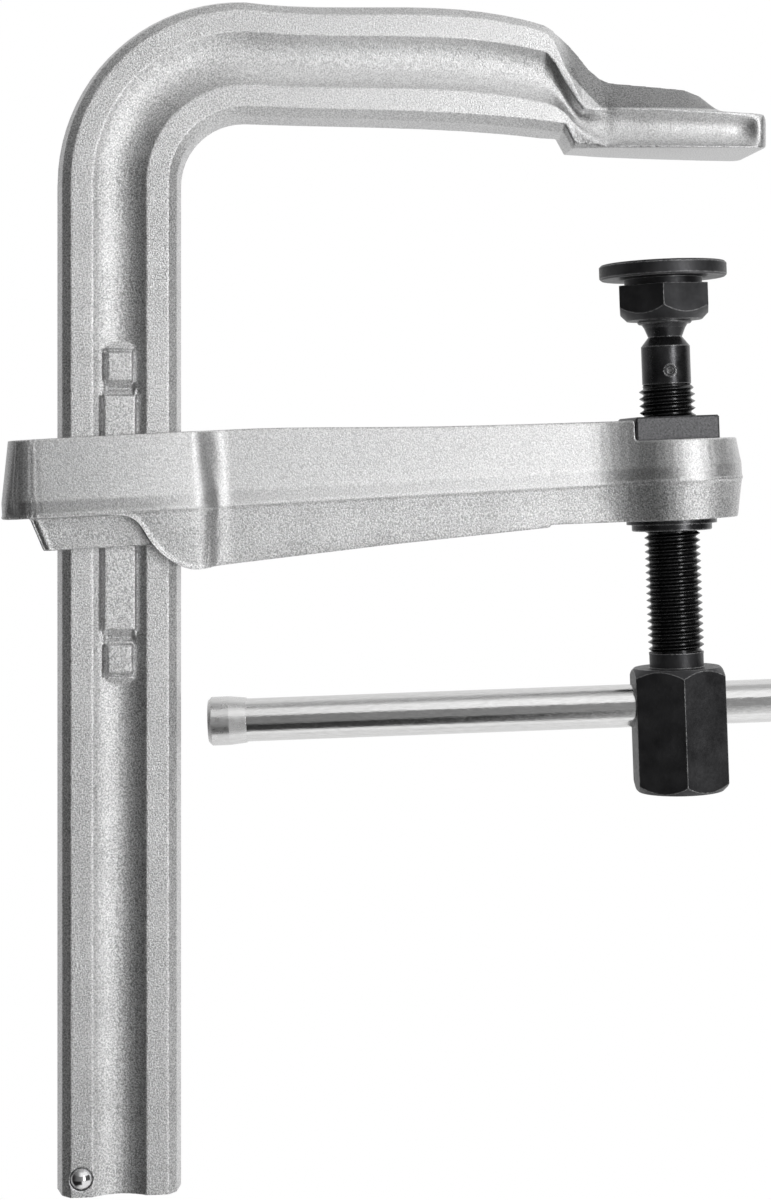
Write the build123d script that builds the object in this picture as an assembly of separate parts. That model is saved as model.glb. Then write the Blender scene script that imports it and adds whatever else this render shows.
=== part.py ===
from build123d import *
import math
import os

# All-steel screw clamp: a forged rail that bends over into the fixed jaw, a sliding arm, and a screw
# with a swivelling pressure pad and a tommy bar.
# Millimetres. The origin is where the clamping axis meets the fixed jaw's pressure face. +Z runs up
# along the rail, +X from the rail towards the tip of the jaw, and the front is -Y.

# Driving dimensions of the rail
rail_width = 43.0
rail_thickness = 21.0
rail_side_draft = 1.75
rail_chamfer_along = 2.9
rail_chamfer_deep = 2.8
groove_width = 18.4
groove_depth = 3.0
throat_depth = 171.0
bend_inner_radius = 22.3
upper_arm_clearance = 7.7
rail_foot_drop = 364.6

# Driving dimensions of the fixed jaw
jaw_tip_reach = 36.4
jaw_tip_corner_radius = 7.0
jaw_tip_top_radius = 4.5
jaw_tip_bottom_radius = 3.0
jaw_lower_half_width = 17.4
jaw_upper_half_width = 16.6
jaw_edge_height = 12.2
jaw_crest_height = 23.9
jaw_edge_rise = 0.8
jaw_edge_inset = 0.7
jaw_foot_rise = 0.3
jaw_dish_depth = 3.4
jaw_start_step = 36.2
jaw_step_run = 3.4
jaw_face_stock = 0.5

# Driving dimensions of the raised panel in the front groove
panel_width = 11.7
panel_top_drop = 69.3
panel_length = 118.8
panel_sink = 1.9
panel_block_sink = 0.8
panel_bar_width = 11.0
panel_block_width = 8.8
panel_notch = 5.1
panel_block_length = 9.8
panel_end_slope = 4.0
panel_draft = 5.0

# Driving dimensions of the stop ball
stop_ball_radius = 4.0
stop_ball_height = 6.5
stop_ball_stand_out = 2.2

# Driving dimensions of the sliding arm
arm_cant = 2.1
forging_tilt = 1.0
arm_parting_drop = 117.7
arm_band_height = 5.0
arm_draft = 9.0
sleeve_length = 74.0
sleeve_back_wall = 18.4
sleeve_side_wall = 9.0
sleeve_end_radius = 14.5
sleeve_corner_radius = 8.0
sleeve_height_above = 26.4
sleeve_valley_radius = 7.0
sleeve_skirt = 0.7
beam_half_width = 12.5
beam_end_height_above = 21.1
beam_crown_run = 7.0
beam_sag_run = 60.0
beam_sag = 1.9
beam_heel_reach = 36.0
beam_heel_rise = 0.5
beam_belly_reach = 108.0
beam_belly_depth = 3.0
gusset_below_boss = 7.1
gusset_run = 35.0
gusset_waist = [(14.0, 2.3), (23.0, 11.4)]
boss_radius = 23.7
boss_flare_radius = 30.0
boss_bottom_drop = 131.7
lip_height = 11.3
lip_side_wall = 4.4
lip_back_wall = 9.2
lip_side_lean = 1.0
lip_back_lean = 4.4

# Driving dimensions of the screw, its nut and the pad
thread_radius = 10.0
nut_plate_width = 30.2
nut_plate_depth = 29.0
nut_plate_thickness = 8.2
nut_seat_drop = 103.0
nut_sleeve_radius = 12.8
nut_edge_chamfer = 0.6
washer_radius = 16.2
washer_thickness = 1.5
ring_radius = 14.35
ring_thickness = 2.4
screw_top_drop = 83.5
thread_length = 95.9
screw_neck_radius = 9.7
screw_neck_length = 5.4
screw_top_lead = 2.2
screw_end_lead = 1.2
head_across_flats = 32.0
head_length = 44.5
head_end_chamfer = 3.1
tommy_hole_below_head_top = 13.4
spigot_radius = 5.0
spigot_length = 11.5
spigot_chamfer = 0.5
collar_radius = 8.75
collar_length = 14.0
collar_edge = 0.5
collar_cone_length = 3.4
stud_neck_radius = 6.05
stud_cone_radius = 7.4
stud_pin_radius = 2.15
stud_pin_bore_radius = 1.0
stud_pin_height = 5.1
ball_radius = 9.4
ball_flat_radius = 2.5
ball_centre_height = 26.5
cup_wall = 1.7
cup_rim_height = 6.4
pad_nut_across_flats = 31.4
pad_nut_length = 12.5
pad_nut_below_ball = 3.1
pad_nut_mouth_radius = 13.5
pad_nut_top_chamfer = 0.3
pad_nut_lip_radius = 9.7
pad_nut_lip_length = 1.3
pad_nut_lip_chamfer = 0.5
pad_seat_angle = 22.0
pad_boss_radius = 13.9
pad_boss_engagement = 5.8
pad_boss_show = 2.5
pad_disc_radius = 22.8
pad_disc_thickness = 5.4
pad_disc_edge = 0.7

# Driving dimensions of the tommy bar
tommy_radius = 7.7
tommy_length = 250.0
tommy_left_reach = 169.0
cap_length = 13.8
cap_radius = 8.7
cap_end_wall = 3.0
cap_cylinder_length = 6.3
cap_mouth_wall = 0.35
cap_chamfer = 1.3

# Angles about the clamping axis, from the front towards the rail
tommy_angle = 96.3
stud_pin_angle = 4.5
pad_nut_angle = 13.8

# Clearances
sleeve_clearance = 0.35
running_clearance = 0.05
seat_clearance = 0.02
tommy_clearance = 0.1
socket_clearance = 0.1

# Places that follow from the driving dimensions
rail_inner_x = -throat_depth
rail_outer_x = rail_inner_x - rail_width
rail_centre_x = rail_inner_x - rail_width / 2
rail_half = rail_thickness / 2
bend_centre_x = rail_inner_x + bend_inner_radius
bend_centre_z = upper_arm_clearance - bend_inner_radius
foot_z = -rail_foot_drop
nut_top_drop = nut_seat_drop - nut_plate_thickness
washer_bottom_drop = boss_bottom_drop + washer_thickness
ring_bottom_drop = washer_bottom_drop + ring_thickness
thread_end_drop = screw_top_drop + thread_length
head_top_drop = thread_end_drop + screw_neck_length
head_bottom_drop = head_top_drop + head_length
tommy_drop = head_top_drop + tommy_hole_below_head_top
ball_centre_drop = screw_top_drop - ball_centre_height
pad_nut_bottom_drop = ball_centre_drop + pad_nut_below_ball
pad_nut_top_drop = pad_nut_bottom_drop - pad_nut_length
pad_disc_bottom_drop = pad_nut_top_drop - pad_boss_show
pad_face_drop = pad_disc_bottom_drop - pad_disc_thickness


def canted_plane(degrees):
    """A frame at the origin whose own Z axis leans from the vertical towards the rail."""
    lean = math.radians(degrees)
    return Plane(
        origin=(0, 0, 0),
        x_dir=(math.cos(lean), 0, math.sin(lean)),
        z_dir=(-math.sin(lean), 0, math.cos(lean)),
    )


screw_frame = canted_plane(arm_cant)
arm_frame = canted_plane(arm_cant + forging_tilt)


def across_rail(x):
    """A plane across the upper arm at x: its own X is the thickness and its own Y is the height."""
    return Plane(origin=(x, 0, 0), x_dir=(0, 1, 0), z_dir=(1, 0, 0))


# Rail and fixed jaw
def forged_section(
    low,
    crest,
    brow,
    groove_low,
    groove_high,
    lower_half=rail_half,
    upper_half=rail_half,
    hollow=groove_depth,
    draft=rail_side_draft,
    chamfer_along=rail_chamfer_along,
    chamfer_deep=rail_chamfer_deep,
    brow_rise=rail_chamfer_along,
):
    """The forged outline: two edges, two lands and a hollow between them on each wide face."""
    lower_side = (lower_half - chamfer_deep, low + draft)
    lower_land = (lower_half, low + draft + chamfer_along)
    middle = (groove_low + groove_high) / 2
    hollow_y = (lower_half + upper_half) / 2 - hollow
    upper_share = (groove_high - lower_land[1]) / (brow - lower_land[1])
    lower_share = (groove_low - lower_land[1]) / (brow - lower_land[1])
    groove_start = (lower_half + (upper_half - lower_half) * lower_share, groove_low)
    groove_end = (lower_half + (upper_half - lower_half) * upper_share, groove_high)
    upper_land = (upper_half, brow)
    upper_side = (upper_half - chamfer_deep, brow + brow_rise)
    outline = [
        Polyline((0, low), lower_side, lower_land, groove_start),
        ThreePointArc(groove_start, (hollow_y, middle), groove_end),
        Polyline(groove_end, upper_land, upper_side, (0, crest)),
    ]
    edges = []
    for curve in outline:
        edges += curve.edges()
        edges += mirror(curve, about=Plane.YZ).edges()
    return make_face(edges)


def rail_section(low):
    """The plain section of the bar, with its narrow inner side at low."""
    centre = low + rail_width / 2
    return forged_section(
        low=low,
        crest=low + rail_width,
        brow=low + rail_width - rail_side_draft - rail_chamfer_along,
        groove_low=centre - groove_width / 2,
        groove_high=centre + groove_width / 2,
    )


def upper_arm():
    """The upper arm sinks a little and gets slimmer on its way to the jaw."""
    sections = [across_rail(bend_centre_x) * rail_section(upper_arm_clearance)]
    for x, low, crest, groove_low, groove_high in [
        (-99.0, 7.3, 50.2, 19.6, 38.0),
        (-58.0, 5.9, 48.5, 17.9, 36.3),
        (-43.0, 4.6, 45.2, 15.5, 33.6),
    ]:
        section = forged_section(
            low=low,
            crest=crest,
            brow=crest - rail_side_draft - rail_chamfer_along,
            groove_low=groove_low,
            groove_high=groove_high,
        )
        sections.append(across_rail(x) * section)
    return loft(sections)


def jaw():
    """The upper arm is forged down and out into the broad jaw with its flat pressure face."""
    under = -jaw_face_stock
    stations = [
        # x, low, crest, brow, groove low and high, lower and upper half, hollow, draft, chamfer, brow rise
        (-43.0, 4.6, 45.2, 40.55, 15.5, 33.6, rail_half, rail_half, groove_depth, 1.75, 2.9, 2.8, 2.9),
        (-40.0, 4.5, 43.9, 37.6, 14.6, 30.0, 10.5, 10.5, 3.0, 1.7, 2.9, 2.8, 4.0),
        (-jaw_start_step, 4.4, 41.0, 28.6, 12.4, 23.0, 10.4, 10.6, 3.0, 1.2, 2.8, 2.7, 7.0),
        (jaw_step_run - jaw_start_step, under, 38.0, 21.4, 8.6, 17.4, 10.3, 10.9, 2.8, 0.05, 2.2, 2.5, 8.0),
        (-30.0, under, 35.0, 15.2, 6.2, 13.6, 10.6, 11.2, 2.7, 0.05, 1.9, 2.2, 7.2),
        (-25.7, under, 29.7, 14.0, 3.4, 13.2, 11.3, 11.4, 2.8, 0.05, 1.5, 1.5, 3.0),
    ]
    for x, crest, lift, widen, hollow in [
        (-21.5, jaw_crest_height + 2.4, 1.7, 5.2, 0.9),
        (-17.8, jaw_crest_height + 1.0, 1.7, 4.2, 0.95),
        (-3.0, jaw_crest_height, 1.3, 2.0, 1.0),
        (9.3, jaw_crest_height - 0.9, 0.6, 0.9, 1.0),
        (14.9, jaw_crest_height - 3.0, 0.3, 0.5, 1.0),
        (17.8, jaw_crest_height - 5.1, 0.15, 0.35, 1.0),
        (19.4, jaw_crest_height - 7.6, 0.05, 0.2, 1.0),
        (21.0, jaw_edge_height + jaw_edge_rise + 0.1, 0.0, 0.1, 1.0),
        (26.5, jaw_edge_height + jaw_edge_rise - 0.2, -0.3, 0.0, 1.0),
        (29.6, jaw_edge_height + jaw_edge_rise - 0.3, -0.4, 0.0, 0.75),
        (31.4, jaw_edge_height + jaw_edge_rise - 0.4, -0.5, 0.0, 0.3),
        (33.0, jaw_edge_height + jaw_edge_rise - 0.5, -0.6, 0.0, 0.06),
        (jaw_tip_reach, jaw_edge_height + jaw_edge_rise - 0.6, -0.7, 0.0, 0.03),
    ]:
        stations.append(
            (
                x,
                under,
                crest,
                jaw_edge_height + lift,
                jaw_foot_rise + 0.15,
                jaw_edge_height + lift - 0.2,
                jaw_lower_half_width - widen,
                jaw_upper_half_width - widen,
                jaw_dish_depth * hollow,
                0.05,
                jaw_face_stock + jaw_foot_rise,
                jaw_edge_inset,
                jaw_edge_rise,
            )
        )
    sections = [across_rail(x) * forged_section(*sizes) for x, *sizes in stations]
    solid = loft(sections, ruled=True)
    reach = jaw_tip_reach + throat_depth
    plan = RectangleRounded(2 * reach, 2 * jaw_lower_half_width, jaw_tip_corner_radius)
    solid &= extrude(Pos(jaw_tip_reach - reach, 0) * plan, amount=2 * rail_width, both=True)

    # One flat cut makes the pressure face and rounds the tip above and below it
    side = Polygon(
        (-reach, 0),
        (jaw_tip_reach, 0),
        (jaw_tip_reach, jaw_edge_height + 0.3),
        (jaw_crest_height, jaw_edge_height + 1.4),
        (0, 2 * rail_width),
        (-reach, 2 * rail_width),
        align=None,
    )
    tip = side.vertices().sort_by(Axis.X)[-2:].sort_by(Axis.Y)
    side = fillet(tip[0], jaw_tip_bottom_radius)
    tip = side.vertices().sort_by(Axis.Y).filter_by(lambda v: abs(v.Y - jaw_edge_height - 0.3) < 0.1)
    side = fillet(tip, jaw_tip_top_radius)
    return solid & extrude(Plane.XZ * side, amount=2 * jaw_lower_half_width, both=True)


def raised_panel():
    """A blank name field in the front groove: a long bar, and a block beyond a notch at each end."""
    middle = Pos(0, -panel_top_drop - panel_length / 2)
    front = Plane(origin=(rail_centre_x, -rail_half, 0), x_dir=(1, 0, 0), z_dir=(0, -1, 0))
    half = panel_length / 2
    block_start = half - panel_end_slope
    block_end = block_start - panel_block_length
    bar_end = block_end - panel_notch
    notch = (bar_end + block_end) / 2
    root = front.offset(-groove_depth - 1)
    pad = extrude(
        root * middle * Rectangle(panel_width, panel_length), amount=groove_depth + 1 - panel_sink
    )
    plan = Rectangle(panel_bar_width, 2 * notch)
    for side in (-1, 1):
        block = Rectangle(panel_block_width, half - notch)
        plan += Pos(0, side * (half + notch) / 2) * block
    step = panel_sink - panel_block_sink
    pad += extrude(front.offset(-panel_sink - step) * middle * plan, amount=2 * step, taper=panel_draft)

    # The side profile gives both ends their slopes and opens the two notches
    floor = -groove_depth - 1
    profile = [
        (notch, -panel_sink),
        (block_end, -panel_block_sink),
        (block_start, -panel_block_sink),
        (half, -groove_depth),
        (half, floor),
    ]
    left = [(-along, out) for along, out in reversed(profile)]
    bar = [(-bar_end, -panel_block_sink), (bar_end, -panel_block_sink)]
    along_rail = Plane(
        origin=(rail_centre_x, -rail_half, -panel_top_drop - half), x_dir=(0, 0, 1), z_dir=(1, 0, 0)
    )
    outline = Polygon(*left, *bar, *profile, align=None)
    return pad & extrude(along_rail * outline, amount=panel_width, both=True)


stop_ball_x = rail_outer_x + rail_side_draft + rail_chamfer_along
stop_ball_x += (rail_width / 2 - rail_side_draft - rail_chamfer_along - groove_width / 2) / 2
stop_ball_y = -rail_half - stop_ball_stand_out + stop_ball_radius
stop_ball_z = foot_z + stop_ball_height


def rail():
    upright_plane = Plane(origin=(bend_centre_x, 0, foot_z), x_dir=(0, 1, 0), z_dir=(0, 0, 1))
    upright = extrude(upright_plane * rail_section(bend_inner_radius), amount=bend_centre_z - foot_z)
    bend_axis = Axis((bend_centre_x, 0, bend_centre_z), (0, -1, 0))
    bend_start = across_rail(bend_centre_x) * rail_section(upper_arm_clearance)
    bend = revolve(bend_start, axis=bend_axis, revolution_arc=90)
    solid = upright + bend + upper_arm() + jaw() + raised_panel()
    pocket_depth = stop_ball_radius * 2 - stop_ball_stand_out + seat_clearance
    pocket = Pos(stop_ball_x, -rail_half + pocket_depth / 2 - 1, stop_ball_z) * Rot(90, 0, 0)
    solid -= pocket * Cylinder(stop_ball_radius + seat_clearance, pocket_depth + 2)
    return solid


def stop_ball():
    return Pos(stop_ball_x, stop_ball_y, stop_ball_z) * Sphere(stop_ball_radius)


# Sliding arm
sleeve_back_x = rail_outer_x - sleeve_clearance - sleeve_back_wall
sleeve_half = rail_half + sleeve_clearance + sleeve_side_wall


def arm_x(world_x, drop):
    """Where a point of the rail lies along the arm's own frame, at a drop below the origin."""
    tilt = math.radians(arm_cant + forging_tilt)
    return (world_x - drop * math.sin(tilt)) / math.cos(tilt)


def arm_plan():
    """Outline at the parting line: the sleeve round the rail, the beam and the round boss."""
    back = arm_x(sleeve_back_x, arm_parting_drop)
    sleeve = Pos(back + sleeve_length / 2, 0) * Rectangle(sleeve_length, 2 * sleeve_half)
    sleeve = fillet(sleeve.vertices().sort_by(Axis.X)[:2], sleeve_end_radius)
    plan = fillet(sleeve.vertices().sort_by(Axis.X)[-2:], sleeve_corner_radius)
    beam_length = -back - sleeve_length / 2
    plan += Pos(-beam_length / 2, 0) * Rectangle(beam_length, 2 * beam_half_width)
    plan += Circle(boss_radius)
    joints = [v for v in plan.vertices() if abs(abs(v.Y) - beam_half_width) < 0.01]
    joints.sort(key=lambda v: v.X)
    plan = fillet(joints[:2], sleeve_valley_radius)
    joints = [v for v in plan.vertices() if abs(abs(v.Y) - beam_half_width) < 0.01]
    joints.sort(key=lambda v: v.X)
    return fillet(joints[-2:], boss_flare_radius)


def arm_side():
    """Side outline: tall sleeve, a curved gusset under it and a beam that tapers to the boss."""
    back = arm_x(sleeve_back_x, arm_parting_drop) - 1
    tip = boss_radius + 1
    front = back + sleeve_length
    top = -arm_parting_drop + sleeve_height_above
    shelf = -arm_parting_drop - sleeve_skirt
    bottom = -boss_bottom_drop - gusset_below_boss
    crown = front + beam_crown_run
    toe = front - beam_crown_run
    waist = [(front - run, bottom + rise) for run, rise in gusset_waist]
    outline = [
        Polyline((back, shelf), (back, top), (crown, top)),
        Spline(
            (crown, top),
            (front + beam_sag_run, top - beam_sag),
            (tip, -arm_parting_drop + beam_end_height_above),
            tangents=[(1, 0), (1, -0.03)],
        ),
        Polyline(
            (tip, -arm_parting_drop + beam_end_height_above),
            (tip, -boss_bottom_drop),
            (-beam_heel_reach, -boss_bottom_drop + beam_heel_rise),
            (-beam_belly_reach, -boss_bottom_drop - beam_belly_depth),
            (toe, bottom),
        ),
        Spline((toe, bottom), *waist, (front - gusset_run, shelf), tangents=[(-1, 0.05), (-1, 0)]),
        Line((front - gusset_run, shelf), (back, shelf)),
    ]
    edges = []
    for curve in outline:
        edges += curve.edges()
    return make_face(edges)


def sleeve_lip():
    """The thinner collar that carries the window on below the sleeve."""
    top = -arm_parting_drop - sleeve_skirt + 1
    back = arm_x(rail_outer_x - sleeve_clearance - lip_back_wall, arm_parting_drop)
    front = arm_x(rail_inner_x + sleeve_clearance + lip_side_wall, arm_parting_drop)
    half = rail_half + sleeve_clearance + lip_side_wall
    sections = []
    for share in (0, 1):
        length = front - back - lip_back_lean * share
        width = 2 * (half - lip_side_lean * share)
        middle = (front + back + lip_back_lean * share) / 2
        level = top - (lip_height + 1) * share
        corner = sleeve_corner_radius / 2
        sections.append(Pos(middle, 0, level) * RectangleRounded(length, width, corner))
    return loft(sections)


def sliding_arm():
    plan = arm_plan()
    level = -arm_parting_drop
    body = extrude(Pos(0, 0, level) * plan, amount=arm_band_height)
    rise = sleeve_height_above - arm_band_height + 1
    body += extrude(Pos(0, 0, level + arm_band_height) * plan, amount=rise, taper=arm_draft)
    depth = boss_bottom_drop + gusset_below_boss - arm_parting_drop + 1
    body += extrude(Pos(0, 0, level) * plan, amount=-depth, taper=arm_draft)
    body &= extrude(Plane.XZ * arm_side(), amount=2 * sleeve_half, both=True)
    body += sleeve_lip()
    solid = arm_frame.location * body

    # Seat for the square plate of the nut, with a shoulder that keeps the plate from turning
    seat_length = 2 * boss_radius
    seat = Box(seat_length, 3 * boss_radius, seat_length, align=(Align.MIN, Align.CENTER, Align.MIN))
    seat = Pos(-nut_plate_width / 2 - sleeve_clearance, 0, -nut_seat_drop) * seat
    under = Pos(0, 0, -boss_bottom_drop) * Cylinder(
        2 * boss_radius, seat_length, align=(Align.CENTER, Align.CENTER, Align.MAX)
    )
    bore = Pos(0, 0, -nut_seat_drop) * Cylinder(
        nut_sleeve_radius + seat_clearance, 4 * boss_radius
    )
    for cutter in (seat, under, bore):
        solid -= screw_frame.location * cutter

    # Window for the rail, parallel to the rail
    window = Pos(rail_centre_x, 0, -arm_parting_drop) * Box(
        rail_width + 2 * sleeve_clearance, rail_thickness + 2 * sleeve_clearance, 6 * sleeve_half
    )
    return solid - window


# Nut, washer and ring
def ring_shape(top_drop, bottom_drop, outer, inner):
    height = bottom_drop - top_drop
    solid = Cylinder(outer, height) - Cylinder(inner, height + 1)
    return Pos(0, 0, -(top_drop + bottom_drop) / 2) * solid


def spindle_nut():
    plate = Box(nut_plate_width, nut_plate_depth, nut_plate_thickness)
    plate = Pos(0, 0, -(nut_top_drop + nut_seat_drop) / 2) * plate
    rim = plate.faces().sort_by(Axis.Z)[-1].edges()
    plate = chamfer(list(rim) + list(plate.edges().filter_by(Axis.Z)), nut_edge_chamfer)
    sleeve_length_below = ring_bottom_drop - nut_seat_drop
    sleeve = Pos(0, 0, -nut_seat_drop - sleeve_length_below / 2) * Cylinder(
        nut_sleeve_radius, sleeve_length_below
    )
    bore = Pos(0, 0, -nut_seat_drop) * Cylinder(
        thread_radius + running_clearance, 4 * sleeve_length_below
    )
    return screw_frame.location * (plate + sleeve - bore)


def nut_washer():
    inner = nut_sleeve_radius + seat_clearance
    washer = ring_shape(boss_bottom_drop, washer_bottom_drop, washer_radius, inner)
    return screw_frame.location * washer


def nut_ring():
    inner = nut_sleeve_radius + seat_clearance
    ring = ring_shape(washer_bottom_drop, ring_bottom_drop, ring_radius, inner)
    return screw_frame.location * chamfer(ring.edges().sort_by(Axis.Z)[:2], nut_edge_chamfer / 2)


# Screw
def about_axis(angle):
    """Turns a shape that faces the front so that it faces the rail by this angle."""
    return Rot(0, 0, -angle)


def turned(points):
    """A turned piece: radius and height pairs, closed along the axis."""
    return revolve(Plane.XZ * make_face(Polyline(*points, close=True).edges()), axis=Axis.Z)


def hex_prism(across_flats, top_drop, bottom_drop, corner_angle, top_radius, bottom_radius):
    """A hexagon whose corners are turned down at 45 degrees to the given radius at each end."""
    corner = across_flats / math.sqrt(3)
    prism = extrude(RegularPolygon(corner, 6), amount=bottom_drop - top_drop)
    prism = Pos(0, 0, -bottom_drop) * Rot(0, 0, -90 - corner_angle) * prism
    return prism & turned(
        [
            (0, -bottom_drop),
            (bottom_radius, -bottom_drop),
            (corner, -bottom_drop + corner - bottom_radius),
            (corner, -top_drop - corner + top_radius),
            (top_radius, -top_drop),
            (0, -top_drop),
        ]
    )


def tommy_hole():
    hole = Cylinder(tommy_radius + tommy_clearance, 3 * head_across_flats)
    return Pos(0, 0, -tommy_drop) * about_axis(tommy_angle) * Rot(90, 0, 0) * hole


def stud_pin_cutter(radius, length):
    pin = Cylinder(radius, length)
    place = Pos(0, 0, -screw_top_drop + stud_pin_height) * about_axis(stud_pin_angle)
    return place * Rot(90, 0, 0) * pin


def spindle():
    top = -screw_top_drop
    shank = turned(
        [
            (0, -head_top_drop - 1),
            (screw_neck_radius, -head_top_drop - 1),
            (screw_neck_radius, -thread_end_drop - screw_end_lead),
            (thread_radius, -thread_end_drop + screw_end_lead),
            (thread_radius, top - screw_top_lead),
            (thread_radius - screw_top_lead, top),
            (spigot_radius, top),
            (spigot_radius, top + spigot_length - spigot_chamfer),
            (spigot_radius - spigot_chamfer, top + spigot_length),
            (0, top + spigot_length),
        ]
    )
    end_radius = head_across_flats / math.sqrt(3) - head_end_chamfer
    head = hex_prism(
        head_across_flats, head_top_drop, head_bottom_drop, tommy_angle - 90, end_radius, end_radius
    )
    solid = shank + head - tommy_hole()
    solid -= stud_pin_cutter(stud_pin_radius + seat_clearance, 4 * collar_radius)
    return screw_frame.location * solid


def ball_stud():
    base = -screw_top_drop
    centre = -ball_centre_drop
    ball_top = (ball_flat_radius, centre + math.sqrt(ball_radius**2 - ball_flat_radius**2))
    ball_foot = (stud_cone_radius, centre - math.sqrt(ball_radius**2 - stud_cone_radius**2))
    socket_radius = spigot_radius + seat_clearance
    socket_top = base + spigot_length + seat_clearance
    outline = [
        Polyline((0, socket_top), (0, ball_top[1]), ball_top),
        ThreePointArc(ball_top, (ball_radius, centre), ball_foot),
        Polyline(
            ball_foot,
            (stud_neck_radius, base + collar_length + collar_cone_length),
            (collar_radius, base + collar_length),
            (collar_radius, base + collar_edge),
            (collar_radius - collar_edge, base),
            (socket_radius, base),
            (socket_radius, socket_top),
            (0, socket_top),
        ),
    ]
    edges = []
    for curve in outline:
        edges += curve.edges()
    solid = revolve(Plane.XZ * make_face(edges), axis=Axis.Z)
    solid -= stud_pin_cutter(stud_pin_radius + seat_clearance, 4 * collar_radius)
    return screw_frame.location * solid


def ball_stud_pin():
    length = 2 * math.sqrt(collar_radius**2 - stud_pin_radius**2)
    tube = stud_pin_cutter(stud_pin_radius, length) - stud_pin_cutter(stud_pin_bore_radius, length + 1)
    return screw_frame.location * tube


# Pressure pad
def ball_space(radius):
    return Pos(0, 0, -ball_centre_drop) * Sphere(radius)


def thrust_cup():
    """Bearing shell between the ball and the pressure pad, round on both sides."""
    inner = ball_radius + socket_clearance
    shell = ball_space(inner + cup_wall) - ball_space(inner)
    keep = Pos(0, 0, -ball_centre_drop + cup_rim_height) * Cylinder(
        2 * ball_radius, 2 * ball_radius, align=(Align.CENTER, Align.CENTER, Align.MIN)
    )
    return screw_frame.location * (shell & keep)


def pad_hex_nut():
    """Screwed on the disc's boss. A cone in its lower mouth keeps the ball in."""
    top = -pad_nut_top_drop
    bottom = -pad_nut_bottom_drop
    lip_bottom = bottom - pad_nut_lip_length
    corner = pad_nut_across_flats / math.sqrt(3)
    solid = hex_prism(
        pad_nut_across_flats,
        pad_nut_top_drop,
        pad_nut_bottom_drop,
        pad_nut_angle,
        corner - pad_nut_top_chamfer,
        pad_nut_mouth_radius,
    )
    solid += turned(
        [
            (0, bottom + 1),
            (pad_nut_lip_radius, bottom + 1),
            (pad_nut_lip_radius, lip_bottom + pad_nut_lip_chamfer),
            (pad_nut_lip_radius - pad_nut_lip_chamfer, lip_bottom),
            (0, lip_bottom),
        ]
    )
    slope = math.radians(pad_seat_angle)
    reach = ball_radius + socket_clearance
    bore = reach + socket_clearance
    cone_top = -ball_centre_drop - (reach - bore * math.cos(slope)) / math.sin(slope)
    mouth = (reach - (-ball_centre_drop - lip_bottom) * math.sin(slope)) / math.cos(slope)
    thread = pad_boss_radius + seat_clearance
    solid -= turned(
        [
            (0, top + 1),
            (thread, top + 1),
            (thread, top - pad_boss_engagement - 1),
            (bore, top - pad_boss_engagement - 1),
            (bore, cone_top),
            (mouth, lip_bottom),
            (mouth, lip_bottom - 1),
            (0, lip_bottom - 1),
        ]
    )
    return screw_frame.location * solid


def pad_disc():
    boss_bottom = -pad_nut_top_drop - pad_boss_engagement
    under = -pad_disc_bottom_drop
    face = -pad_face_drop
    solid = turned(
        [
            (0, boss_bottom),
            (pad_boss_radius, boss_bottom),
            (pad_boss_radius, under),
            (pad_disc_radius - pad_disc_edge, under),
            (pad_disc_radius, under + pad_disc_edge),
            (pad_disc_radius, face - pad_disc_edge),
            (pad_disc_radius - pad_disc_edge, face),
            (0, face),
        ]
    )
    solid -= ball_space(ball_radius + 2 * socket_clearance + cup_wall)
    return screw_frame.location * solid


# Tommy bar and caps, built along the bar with the left end at negative X
def tommy_place():
    turn = Pos(0, 0, -tommy_drop) * about_axis(tommy_angle - 90)
    return screw_frame.location * turn


bar_left = -tommy_left_reach
bar_right = tommy_length - tommy_left_reach


def tommy_bar():
    left = bar_left + cap_end_wall + seat_clearance
    right = bar_right - cap_end_wall - seat_clearance
    bar = Pos((left + right) / 2, 0, 0) * Rot(0, 90, 0) * Cylinder(tommy_radius, right - left)
    return tommy_place() * chamfer(bar.edges().filter_by(GeomType.CIRCLE), 0.4)


def tommy_cap():
    """A turned ferrule with its closed end at the origin, open towards +Z."""
    solid = turned(
        [
            (0, 0),
            (cap_radius - cap_chamfer, 0),
            (cap_radius, cap_chamfer),
            (cap_radius, cap_chamfer + cap_cylinder_length),
            (tommy_radius + cap_mouth_wall, cap_length),
            (0, cap_length),
        ]
    )
    socket = Cylinder(
        tommy_radius + seat_clearance, cap_length, align=(Align.CENTER, Align.CENTER, Align.MIN)
    )
    return solid - Pos(0, 0, cap_end_wall) * socket


def tommy_cap_left():
    return tommy_place() * Pos(bar_left, 0, 0) * Rot(0, 90, 0) * tommy_cap()


def tommy_cap_right():
    return tommy_place() * Pos(bar_right, 0, 0) * Rot(0, -90, 0) * tommy_cap()


pieces = {
    "rail": rail,
    "stop_ball": stop_ball,
    "sliding_arm": sliding_arm,
    "spindle_nut": spindle_nut,
    "nut_washer": nut_washer,
    "nut_ring": nut_ring,
    "spindle": spindle,
    "ball_stud": ball_stud,
    "ball_stud_pin": ball_stud_pin,
    "thrust_cup": thrust_cup,
    "pad_hex_nut": pad_hex_nut,
    "pad_disc": pad_disc,
    "tommy_bar": tommy_bar,
    "tommy_cap_left": tommy_cap_left,
    "tommy_cap_right": tommy_cap_right,
}
os.makedirs("parts", exist_ok=True)
for name, make in pieces.items():
    export_step(make(), f"parts/{name}.step")
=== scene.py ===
import math

import bmesh
import bpy
from mathutils import Matrix, Vector


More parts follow.
